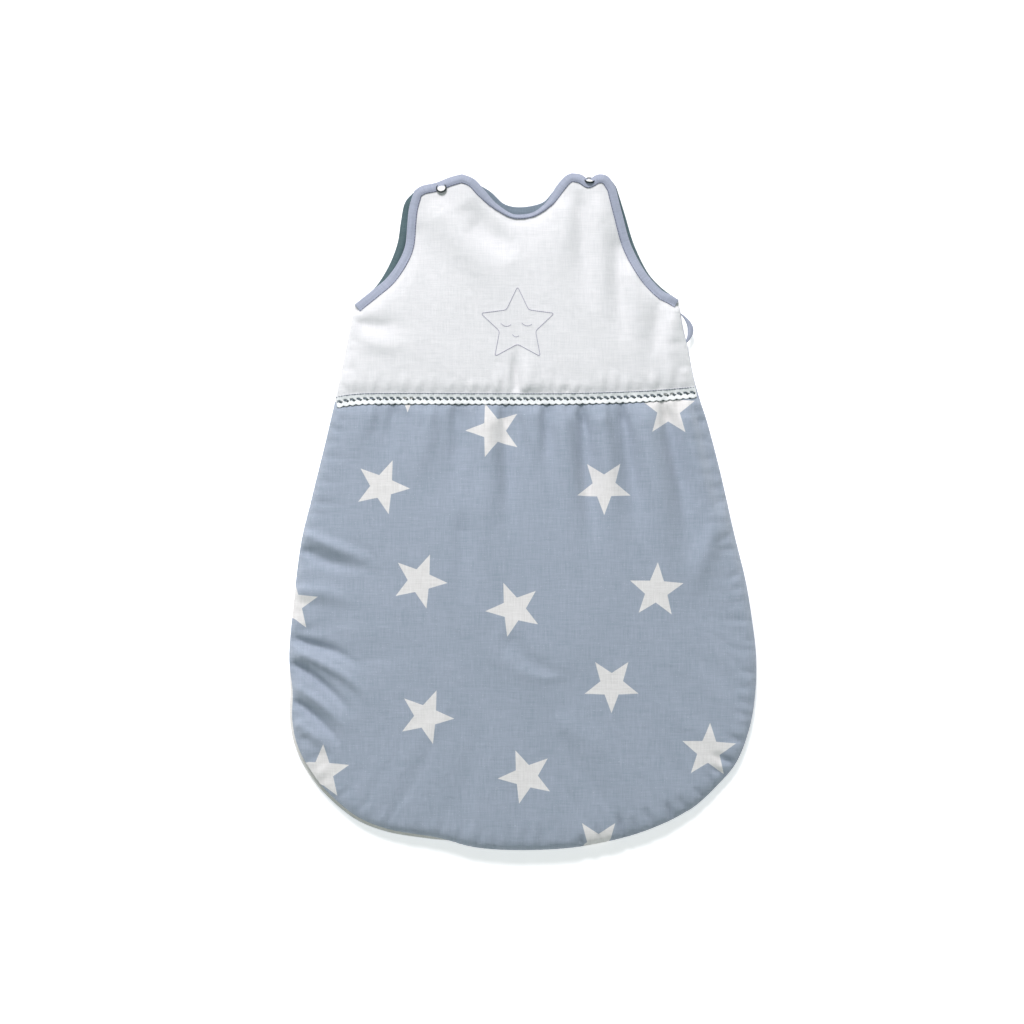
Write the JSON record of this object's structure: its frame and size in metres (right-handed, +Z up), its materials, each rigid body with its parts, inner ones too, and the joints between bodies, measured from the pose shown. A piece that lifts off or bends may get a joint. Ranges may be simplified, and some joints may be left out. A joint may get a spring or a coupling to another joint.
{
  "type": "baby sleeping bag",
  "caption": "Sleeveless padded baby sleeping bag with a white bodice, star-print skirt, lace waist trim, snapped shoulders and a front that unzips and folds open.",
  "frame": {"origin": "middle of the bag's footprint, on the surface it lies on", "axes": "+Z up out of the front, +Y towards the head, +X towards the side seam that isn't zipped"},
  "size_m": [0.4823, 0.6992, 0.038],
  "materials": {
    "white_cotton": "fine plain-weave white cotton",
    "printed_cotton": "fine plain-weave cotton, grey-blue with white stars",
    "binding_cotton": "blue-grey cotton bias tape",
    "lining_cotton": "off-white jersey lining",
    "wadding": "polyester wadding",
    "lace": "cotton torchon lace",
    "motif_thread": "grey-lilac embroidery thread",
    "zip_tape": "off-white woven tape",
    "zip_teeth": "moulded off-white plastic teeth",
    "zip_metal": "white enamelled slider and pull",
    "stop_metal": "pressed stops",
    "snap_metal": "nickel-plated ring and sockets",
    "snap_white": "white snap centre"
  },
  "bodies": {
    "back": {"back_bodice": "white_cotton", "back_skirt": "printed_cotton", "back_wadding": "wadding", "back_lining": "lining_cotton", "back_neck_binding": "binding_cotton", "back_armhole_binding_left": "binding_cotton", "back_armhole_binding_right": "binding_cotton", "side_bodice": "white_cotton", "side_skirt": "printed_cotton", "side_wadding": "wadding", "side_lining": "lining_cotton", "side_lace": "lace", "side_seam": "binding_cotton", "underarm_loop": "binding_cotton", "zip_tape_back": "zip_tape", "zip_teeth_back": "zip_teeth", "zip_stop_back": "stop_metal", "zip_stop_bottom": "stop_metal", "snap_stud_left": "snap_metal", "snap_stud_right": "snap_metal", "snap_back_ring_left": "snap_metal", "snap_back_ring_right": "snap_metal"},
    "front_flap": {"front_bodice": "white_cotton", "front_skirt": "printed_cotton", "front_wadding": "wadding", "front_lining": "lining_cotton", "neck_binding": "binding_cotton", "armhole_binding_left": "binding_cotton", "armhole_binding_right": "binding_cotton", "waist_lace": "lace", "star_motif": "motif_thread", "zip_tape_front": "zip_tape", "zip_teeth_front": "zip_teeth", "zip_stop_front": "stop_metal"},
    "shoulder_left": {"shoulder_cloth_left": "white_cotton", "shoulder_wadding_left": "wadding", "shoulder_lining_left": "lining_cotton", "shoulder_binding_left": "binding_cotton", "snap_ring_left": "snap_metal", "snap_centre_left": "snap_white", "snap_socket_left": "snap_metal"},
    "shoulder_right": {"shoulder_cloth_right": "white_cotton", "shoulder_wadding_right": "wadding", "shoulder_lining_right": "lining_cotton", "shoulder_binding_right": "binding_cotton", "snap_ring_right": "snap_metal", "snap_centre_right": "snap_white", "snap_socket_right": "snap_metal"},
    "slider": {"zip_slider": "zip_metal"},
    "pull": {"zip_pull": "zip_metal"}
  },
  "joints": [
    {"name": "front_fold", "type": "hinge", "parent": "back", "child": "front_flap", "pos_m": [0.162, -0.05, 0.0312], "axis": [0, 1, 0], "range_deg": [0, 165]},
    {"name": "shoulder_fold_left", "type": "hinge", "parent": "front_flap", "child": "shoulder_left", "pos_m": [-0.08, 0.318, 0.0202], "axis": [1, 0, 0], "range_deg": [0, 150]},
    {"name": "shoulder_fold_right", "type": "hinge", "parent": "front_flap", "child": "shoulder_right", "pos_m": [0.07, 0.318, 0.0202], "axis": [1, 0, 0], "range_deg": [0, 150]},
    {"name": "zip_run", "type": "slide", "parent": "back", "child": "slider", "axis": [-0.2151, -0.9766, 0], "range_m": [0, 0.235]},
    {"name": "pull_swing", "type": "hinge", "parent": "slider", "child": "pull", "pos_m": [-0.17627, 0.19527, 0.0099], "axis": [0, 0, -1], "range_deg": [0, 170]}
  ]
}
